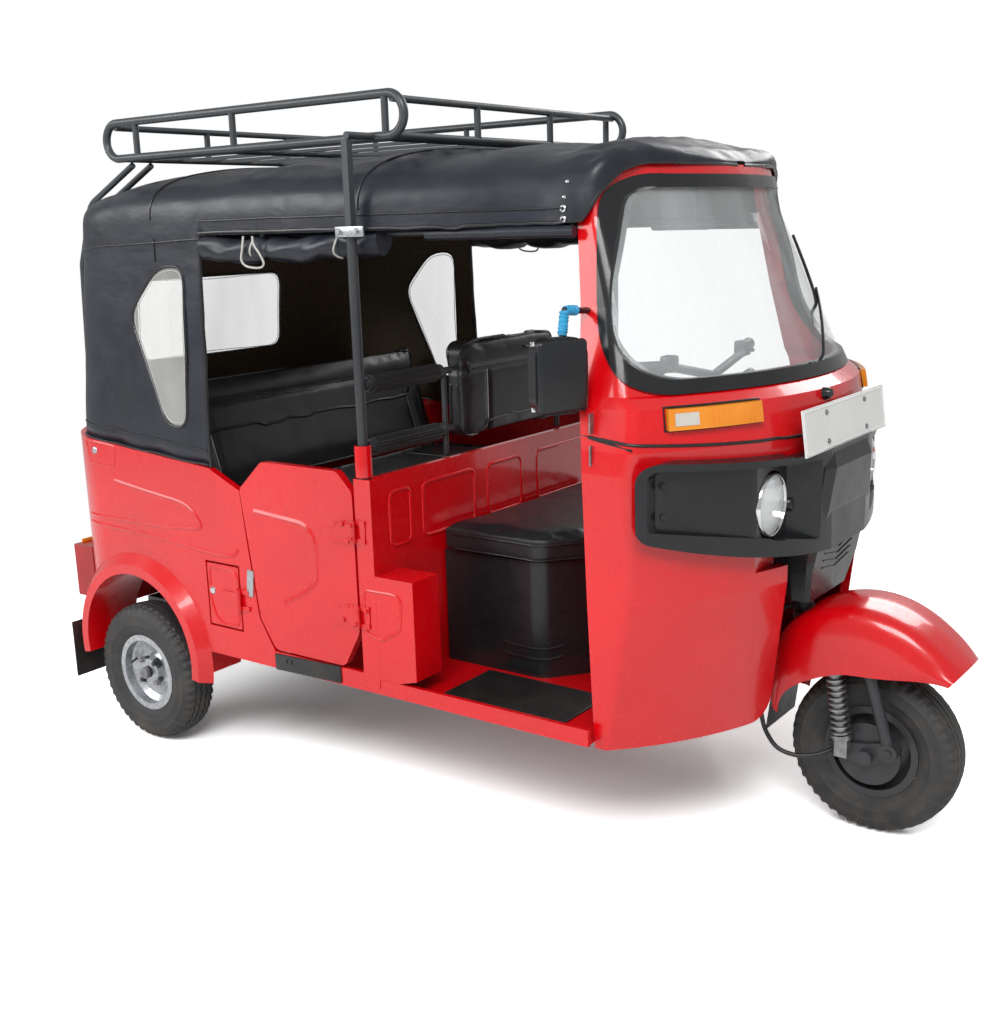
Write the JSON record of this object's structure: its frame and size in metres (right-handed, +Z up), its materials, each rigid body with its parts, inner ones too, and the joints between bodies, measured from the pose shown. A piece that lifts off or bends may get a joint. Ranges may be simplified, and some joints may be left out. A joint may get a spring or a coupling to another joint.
{
  "type": "auto rickshaw",
  "caption": "Small motor vehicle with one steered front wheel and a driven rear axle, an open-sided cab under a vinyl hood, half doors, a passenger bench and a tubular roof rack.",
  "frame": {"origin": "on the ground under the centre of the overall box", "axes": "+X forwards, +Y to the vehicle's left, +Z up"},
  "size_m": [2.5888, 1.3792, 1.799],
  "materials": {
    "red_paint": "gloss",
    "dark_paint": "satin",
    "grey_steel": "satin",
    "galvanised_steel": "satin",
    "black_plastic": "matte",
    "hood_vinyl": "matte",
    "seat_vinyl": "satin",
    "black_rubber": "matte",
    "tyre_rubber": "matte",
    "screen_glass": "gloss",
    "clear_vinyl": "gloss",
    "lamp_lens": "gloss",
    "amber_lens": "gloss",
    "red_lens": "gloss",
    "plate_white": "satin",
    "cast_block": "matte"
  },
  "bodies": {
    "body": {"bench_back": "seat_vinyl", "bench_box": "red_paint", "bench_seat": "seat_vinyl", "canopy": "hood_vinyl", "canopy_windows": "clear_vinyl", "chassis_frame": "dark_paint", "dashboard": "black_plastic", "door_posts": "red_paint", "door_sills": "red_paint", "drive_shafts": "grey_steel", "driver_backrest": "seat_vinyl", "driver_seat": "seat_vinyl", "engine_block": "cast_block", "floor_pan": "red_paint", "front_bulkhead": "red_paint", "front_indicators": "amber_lens", "grab_bars": "grey_steel", "headlamp_fascia": "black_plastic", "headlamps": "lamp_lens", "hinge_brackets": "red_paint", "lower_cowl": "red_paint", "mirrors": "black_plastic", "mud_flaps": "black_rubber", "muffler": "dark_paint", "number_plates": "plate_white", "partition": "red_paint", "rack_legs": "dark_paint", "rear_fenders": "red_paint", "rear_springs": "grey_steel", "roof_poles": "red_paint", "roof_rack": "dark_paint", "seat_box": "black_plastic", "side_curtains": "hood_vinyl", "side_panels": "red_paint", "steering_head": "dark_paint", "tail_lamps": "red_lens", "tail_panel": "red_paint", "trailing_arms": "dark_paint", "upper_cowl": "red_paint", "windscreen_glass": "screen_glass", "windscreen_seal": "black_rubber"},
    "door_right": {"door_right": "red_paint"},
    "door_left": {"door_left": "red_paint"},
    "fuel_lid": {"fuel_lid": "red_paint"},
    "engine_hatch": {"engine_hatch": "red_paint"},
    "steering": {"fork": "dark_paint", "front_link": "dark_paint", "front_spring": "grey_steel", "front_mudguard": "red_paint", "front_mud_flap": "black_rubber", "handlebar": "dark_paint", "brake_hose": "black_rubber"},
    "front_wheel": {"front_tyre": "tyre_rubber", "front_rim": "dark_paint"},
    "rear_wheel_right": {"rear_right_tyre": "tyre_rubber", "rear_right_rim": "galvanised_steel"},
    "rear_wheel_left": {"rear_left_tyre": "tyre_rubber", "rear_left_rim": "galvanised_steel"}
  },
  "joints": [
    {"name": "steering_turn", "type": "hinge", "parent": "body", "child": "steering", "pos_m": [0.872, 0, 0.53], "axis": [-0.4226, 0, 0.9063], "range_deg": [-36, 36]},
    {"name": "front_wheel_spin", "type": "hinge", "parent": "steering", "child": "front_wheel", "pos_m": [1.0675, 0, 0.2075], "axis": [0, 1, 0], "continuous": true},
    {"name": "rear_wheel_right_spin", "type": "hinge", "parent": "body", "child": "rear_wheel_right", "pos_m": [-0.9325, -0.575, 0.2075], "axis": [0, 1, 0], "continuous": true},
    {"name": "rear_wheel_left_spin", "type": "hinge", "parent": "body", "child": "rear_wheel_left", "pos_m": [-0.9325, 0.575, 0.2075], "axis": [0, 1, 0], "continuous": true},
    {"name": "door_right_open", "type": "hinge", "parent": "body", "child": "door_right", "pos_m": [-0.05, -0.628, 0.638], "axis": [0, 0, 1], "range_deg": [0, 100]},
    {"name": "door_left_open", "type": "hinge", "parent": "body", "child": "door_left", "pos_m": [-0.05, 0.628, 0.638], "axis": [0, 0, -1], "range_deg": [0, 100]},
    {"name": "fuel_lid_open", "type": "hinge", "parent": "body", "child": "fuel_lid", "pos_m": [-0.487, -0.628, 0.505], "axis": [0, 0, 1], "range_deg": [0, 100]},
    {"name": "engine_hatch_open", "type": "hinge", "parent": "body", "child": "engine_hatch", "pos_m": [-1.2705, 0, 0.773], "axis": [0, 1, 0], "range_deg": [0, 80]}
  ]
}
